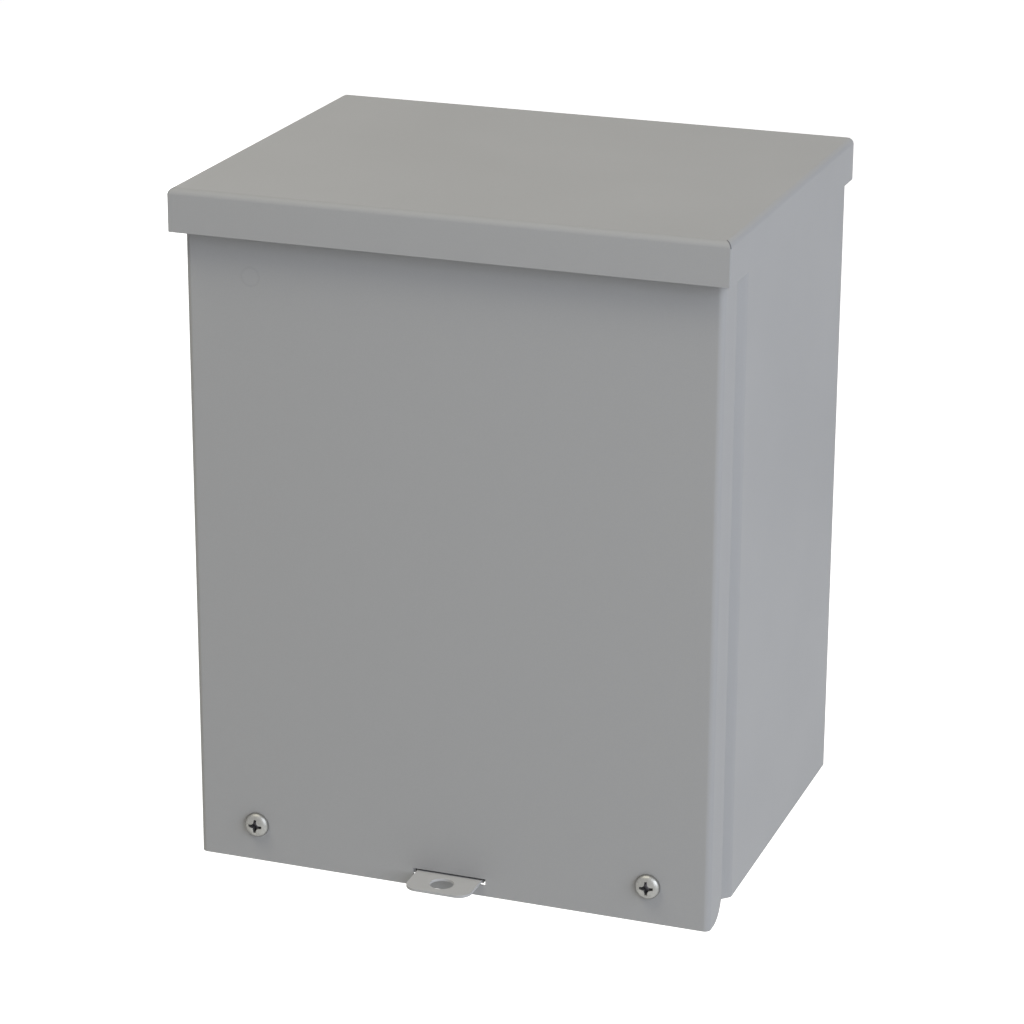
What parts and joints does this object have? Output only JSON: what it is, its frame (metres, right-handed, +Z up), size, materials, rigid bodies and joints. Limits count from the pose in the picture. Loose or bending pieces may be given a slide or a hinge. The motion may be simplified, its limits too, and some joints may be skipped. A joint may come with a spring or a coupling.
{
  "type": "wall-mounted electrical enclosure",
  "caption": "Rainproof wall-mounted sheet-steel electrical enclosure with a drip cap, a lift-off cover held by captive screws, and a padlock tab.",
  "frame": {"origin": "centre of the four wall fixing holes, on the wall plane that the embossed fixings stand on, halfway up the body", "axes": "+Y into the wall, -Y out of the front cover, +Z up, +X to the right seen from the front"},
  "size_m": [0.208, 0.1716, 0.2592],
  "materials": {
    "painted_body": "light grey powder coat, satin",
    "painted_cap": "light grey powder coat, satin",
    "painted_cover": "light grey powder coat, satin",
    "nickel_screw": "bright nickel plate",
    "zinc_steel": "bright zinc plate",
    "fibre": "natural nylon"
  },
  "bodies": {
    "enclosure": {"body_shell": "painted_body", "bottom_pan": "painted_body", "drip_cap": "painted_cap", "weld_nut_left": "zinc_steel", "weld_nut_right": "zinc_steel", "panel_stud_top_left": "zinc_steel", "panel_stud_top_right": "zinc_steel", "panel_stud_bottom_left": "zinc_steel", "panel_stud_bottom_right": "zinc_steel", "ground_stud": "zinc_steel", "ground_washer": "zinc_steel", "ground_nut": "zinc_steel"},
    "front_cover": {"cover": "painted_cover", "bond_stud": "zinc_steel", "bond_washer": "zinc_steel", "bond_nut": "zinc_steel"},
    "screw_left": {"cover_screw_left": "nickel_screw", "screw_retainer_left": "fibre"},
    "screw_right": {"cover_screw_right": "nickel_screw", "screw_retainer_right": "fibre"}
  },
  "joints": [
    {"name": "cover_swing", "type": "hinge", "parent": "enclosure", "child": "front_cover", "pos_m": [0, -0.1556, 0.124], "axis": [-1, 0, 0], "range_deg": [0, 20]},
    {"name": "screw_left_turn", "type": "hinge", "parent": "front_cover", "child": "screw_left", "pos_m": [-0.077, -0.1566, -0.116], "axis": [0, -1, 0], "continuous": true},
    {"name": "screw_right_turn", "type": "hinge", "parent": "front_cover", "child": "screw_right", "pos_m": [0.077, -0.1566, -0.116], "axis": [0, -1, 0], "continuous": true}
  ]
}
